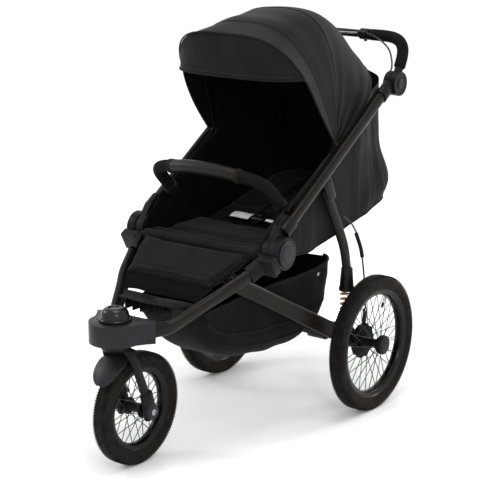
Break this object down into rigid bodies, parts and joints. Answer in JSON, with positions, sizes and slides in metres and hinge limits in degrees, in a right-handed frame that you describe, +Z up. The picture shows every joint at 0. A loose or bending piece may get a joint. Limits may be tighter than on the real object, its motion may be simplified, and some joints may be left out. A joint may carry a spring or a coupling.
{
  "type": "three-wheeled jogging stroller",
  "caption": "Three-wheeled jogging stroller with spoked air wheels, folding oval-tube frame, swivel front fork, reclining padded seat, canopy, bumper bar and basket.",
  "frame": {"origin": "on the ground, under the middle of the stroller's length and width", "axes": "+Z up; the child faces -Y; +X is the child's left"},
  "size_m": [0.6488, 1.1296, 1.164],
  "materials": {
    "powder_coat": "satin black powder coat",
    "plastic": "moulded black nylon",
    "satin_plastic": "satin dark grey moulding",
    "rubber": "brown black tyre rubber",
    "rim": "gloss black rim and spokes",
    "foam": "closed cell foam",
    "fabric": "woven polyester",
    "liner": "black lining and webbing",
    "spring": "gold painted spring steel",
    "steel": "bare steel",
    "cable": "cable sleeve"
  },
  "bodies": {
    "front_frame": {"front_housing": "satin_plastic", "front_tube_left": "powder_coat", "front_tube_right": "powder_coat", "front_cross_tube": "powder_coat", "fold_hub_left": "satin_plastic", "fold_hub_right": "satin_plastic", "hub_cover_left": "plastic", "hub_cover_right": "plastic", "seat_front_tube": "powder_coat", "footplate": "plastic", "basket": "fabric"},
    "lock": {"lock_knob": "plastic"},
    "fork": {"fork": "plastic", "fender": "satin_plastic", "front_axle": "steel"},
    "front_wheel": {"front_tyre": "rubber", "front_rim": "rim"},
    "leg_rest": {"calf_pad": "fabric"},
    "rear_legs": {"rear_leg_left": "powder_coat", "rear_leg_right": "powder_coat"},
    "rear_axle": {"rear_axle": "powder_coat", "axle_bracket_left": "satin_plastic", "axle_bracket_right": "satin_plastic", "brake_drum_left": "plastic", "brake_drum_right": "plastic", "spring_left": "spring", "spring_right": "spring", "brake_cable_left": "cable", "brake_cable_right": "cable"},
    "rear_wheel_left": {"rear_tyre_left": "rubber", "rear_rim_left": "rim", "wheel_cap_left": "plastic"},
    "rear_wheel_right": {"rear_tyre_right": "rubber", "rear_rim_right": "rim", "wheel_cap_right": "plastic"},
    "brake_pedal": {"brake_pedal": "satin_plastic"},
    "upper_frame": {"upper_tube_left": "powder_coat", "upper_tube_right": "powder_coat", "upper_collar_left": "plastic", "upper_collar_right": "plastic", "handle_joint_left": "satin_plastic", "handle_joint_right": "satin_plastic", "seat_pad": "fabric", "seat_shell": "liner", "canopy_rear": "fabric"},
    "struts": {"strut_left": "powder_coat", "strut_right": "powder_coat"},
    "handle": {"handle_bar": "powder_coat", "grip_left": "foam", "grip_right": "foam", "brake_cable_upper": "cable"},
    "handle_button_left": {"handle_button_left": "satin_plastic"},
    "handle_button_right": {"handle_button_right": "satin_plastic"},
    "brake_lever": {"brake_lever": "steel"},
    "canopy_front": {"canopy_front": "fabric", "canopy_bow": "plastic"},
    "backrest": {"backrest_pad": "fabric", "harness": "liner"},
    "bumper_bar": {"bumper_bar": "foam"}
  },
  "joints": [
    {"name": "lock_turn", "type": "hinge", "parent": "front_frame", "child": "lock", "pos_m": [0, -0.48568, 0.418], "axis": [0, 0, 1], "range_deg": [0, 90]},
    {"name": "front_swivel", "type": "hinge", "parent": "front_frame", "child": "fork", "pos_m": [0, -0.48568, 0.39], "axis": [0, 0, 1], "continuous": true},
    {"name": "front_wheel_spin", "type": "hinge", "parent": "fork", "child": "front_wheel", "pos_m": [0, -0.40868, 0.155], "axis": [1, 0, 0], "continuous": true},
    {"name": "leg_rest_tilt", "type": "hinge", "parent": "front_frame", "child": "leg_rest", "pos_m": [0, -0.12768, 0.548], "axis": [1, 0, 0], "range_deg": [-27, 0]},
    {"name": "rear_leg_pivot", "type": "hinge", "parent": "front_frame", "child": "rear_legs", "pos_m": [0, -0.19768, 0.485], "axis": [1, 0, 0], "range_deg": [-58, 0]},
    {"name": "axle_suspension", "type": "hinge", "parent": "rear_legs", "child": "rear_axle", "pos_m": [0, 0.23032, 0.24], "axis": [1, 0, 0], "range_deg": [0, 12], "stiffness_Nm_per_rad": 400, "springref_deg": -2.86, "deforming": ["spring_left", "spring_right"]},
    {"name": "rear_wheel_left_spin", "type": "hinge", "parent": "rear_axle", "child": "rear_wheel_left", "pos_m": [0.278, 0.32232, 0.2], "axis": [1, 0, 0], "continuous": true},
    {"name": "rear_wheel_right_spin", "type": "hinge", "parent": "rear_axle", "child": "rear_wheel_right", "pos_m": [-0.278, 0.32232, 0.2], "axis": [1, 0, 0], "continuous": true},
    {"name": "brake_pedal_turn", "type": "hinge", "parent": "rear_axle", "child": "brake_pedal", "pos_m": [0.09, 0.32232, 0.2], "axis": [1, 0, 0], "range_deg": [-20, 0]},
    {"name": "fold", "type": "hinge", "parent": "front_frame", "child": "upper_frame", "pos_m": [0, -0.08768, 0.552], "axis": [1, 0, 0], "range_deg": [-80, 0], "deforming": ["basket", "brake_cable_left", "brake_cable_right"]},
    {"name": "strut_pivot", "type": "hinge", "parent": "upper_frame", "child": "struts", "pos_m": [0, 0.17232, 0.658], "axis": [1, 0, 0], "range_deg": [0, 37]},
    {"name": "handle_adjust", "type": "hinge", "parent": "upper_frame", "child": "handle", "pos_m": [0, 0.48232, 0.936], "axis": [1, 0, 0], "range_deg": [-60, 0]},
    {"name": "handle_button_left_press", "type": "slide", "parent": "handle", "child": "handle_button_left", "axis": [-1, 0, 0], "range_m": [0, 0.003], "stiffness_N_per_m": 500},
    {"name": "handle_button_right_press", "type": "slide", "parent": "handle", "child": "handle_button_right", "axis": [1, 0, 0], "range_m": [0, 0.003], "stiffness_N_per_m": 500},
    {"name": "brake_lever_squeeze", "type": "hinge", "parent": "handle", "child": "brake_lever", "pos_m": [0.086, 0.52582, 1.0645], "axis": [0, 0, 1], "range_deg": [-7, 0], "stiffness_Nm_per_rad": 0.3},
    {"name": "canopy_fold_back", "type": "hinge", "parent": "upper_frame", "child": "canopy_front", "pos_m": [0, 0.21832, 0.777], "axis": [1, 0, 0], "range_deg": [-30, 0]},
    {"name": "backrest_recline", "type": "hinge", "parent": "upper_frame", "child": "backrest", "pos_m": [0, 0.10732, 0.53], "axis": [1, 0, 0], "range_deg": [0, 50]},
    {"name": "bumper_tilt", "type": "hinge", "parent": "upper_frame", "child": "bumper_bar", "pos_m": [0, -0.00568, 0.652], "axis": [1, 0, 0], "range_deg": [-45, 25]}
  ],
  "couplings": [
    {"joint": "rear_leg_pivot", "follows": "fold", "ratio": 0.716},
    {"joint": "strut_pivot", "follows": "fold", "ratio": -0.46}
  ]
}
